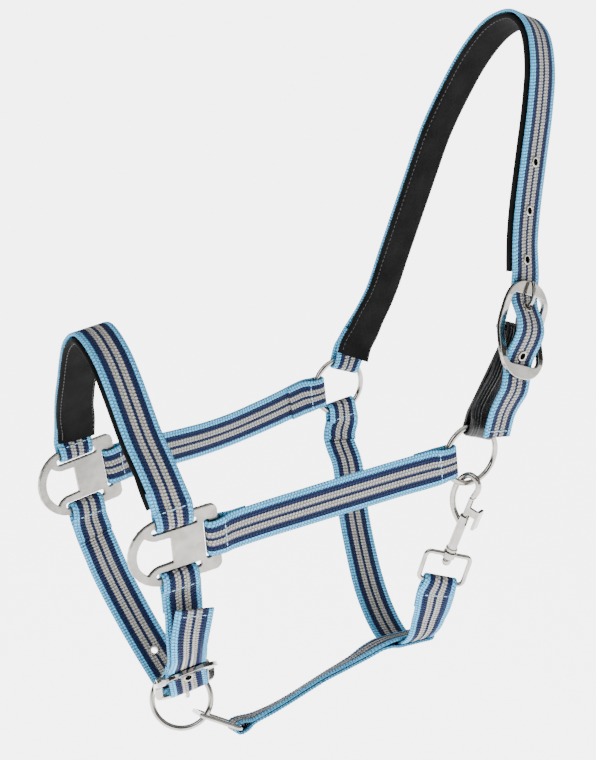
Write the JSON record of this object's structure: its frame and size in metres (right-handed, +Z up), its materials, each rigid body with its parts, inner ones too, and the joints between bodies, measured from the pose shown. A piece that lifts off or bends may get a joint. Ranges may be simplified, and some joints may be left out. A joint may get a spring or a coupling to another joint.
{
  "type": "horse halter",
  "caption": "Striped webbing head halter for a horse: padded noseband and crown, adjustable crown and chin buckles, cast squares, rings and a throat strap closed by a swivel snap.",
  "frame": {"origin": "on the underside of the crown's padding at the poll, the highest point, where the halter hangs", "axes": "+X from the nose towards the poll and neck, +Y towards the horse's far side, away from the snap and crown buckle, +Z up"},
  "size_m": [0.3391, 0.1834, 0.463],
  "materials": {
    "webbing": "woven polyester, light blue, navy and grey stripes",
    "lining": "matte black soft padding",
    "leather": "smooth glossy black",
    "cast_alloy": "satin nickel plated casting",
    "nickel_plate": "bright nickel plate",
    "spring_steel": "plain spring wire"
  },
  "bodies": {
    "halter": {"noseband_webbing": "webbing", "noseband_lining": "lining", "near_square": "cast_alloy", "far_square": "cast_alloy", "near_cheek_strap": "webbing", "far_cheek_strap": "webbing", "crown_strap": "webbing", "crown_eyelet_1": "nickel_plate", "crown_eyelet_2": "nickel_plate", "crown_eyelet_3": "nickel_plate", "crown_eyelet_4": "nickel_plate", "crown_eyelet_5": "nickel_plate", "crown_lining": "lining", "crown_buckle_frame": "nickel_plate", "leather_tab": "leather", "near_chin_strap": "webbing", "far_chin_strap": "webbing", "chin_eyelet_1": "nickel_plate", "chin_eyelet_2": "nickel_plate", "chin_eyelet_3": "nickel_plate", "chin_buckle_frame": "nickel_plate", "connecting_strap": "webbing", "throat_strap": "webbing"},
    "near_ring": {"near_ring": "nickel_plate"},
    "far_ring": {"far_ring": "nickel_plate"},
    "chin_ring": {"chin_ring": "nickel_plate"},
    "crown_tongue": {"crown_buckle_tongue": "nickel_plate"},
    "chin_tongue": {"chin_buckle_tongue": "nickel_plate"},
    "snap_loop": {"snap_loop": "nickel_plate"},
    "snap_body": {"snap_body": "nickel_plate", "snap_spring": "spring_steel"},
    "snap_bolt": {"snap_bolt": "nickel_plate"},
    "chin_link": {"chin_link": "nickel_plate"}
  },
  "joints": [
    {"name": "near_ring_turn", "type": "hinge", "parent": "halter", "child": "near_ring", "pos_m": [-0.0878, -0.08, -0.2582], "axis": [0, 1, 0], "continuous": true},
    {"name": "far_ring_turn", "type": "hinge", "parent": "halter", "child": "far_ring", "pos_m": [-0.0878, 0.08, -0.2582], "axis": [0, 1, 0], "continuous": true},
    {"name": "chin_ring_turn", "type": "hinge", "parent": "halter", "child": "chin_ring", "pos_m": [-0.258, -0.0003, -0.4238], "axis": [-0.4411, -0.8523, 0.2811], "continuous": true},
    {"name": "crown_tongue_lift", "type": "hinge", "parent": "halter", "child": "crown_tongue", "pos_m": [-0.0558, -0.0808, -0.1805], "axis": [0.9252, 0.12, -0.3601], "range_deg": [0, 2]},
    {"name": "chin_tongue_lift", "type": "hinge", "parent": "halter", "child": "chin_tongue", "pos_m": [-0.2688, -0.0248, -0.3892], "axis": [-0.957, 0.178, -0.229], "range_deg": [0, 2]},
    {"name": "snap_loop_swing", "type": "hinge", "parent": "halter", "child": "snap_loop", "pos_m": [-0.0997, -0.067, -0.3496], "axis": [0.8831, -0.402, -0.242], "range_deg": [-1, 0]},
    {"name": "snap_swivel", "type": "hinge", "parent": "snap_loop", "child": "snap_body", "pos_m": [-0.0963, -0.072, -0.3289], "axis": [0.17, -0.28, 0.9448], "range_deg": [-10, 0]},
    {"name": "snap_bolt_slide", "type": "slide", "parent": "snap_body", "child": "snap_bolt", "axis": [-0.17, 0.28, -0.9448], "range_m": [0, 0.007], "stiffness_N_per_m": 400, "springref_m": -0.004},
    {"name": "chin_link_swing", "type": "hinge", "parent": "halter", "child": "chin_link", "pos_m": [-0.2264, -0.01807, -0.44438], "axis": [-0.2351, -0.9004, 0.3661], "range_deg": [-2, 2]}
  ]
}
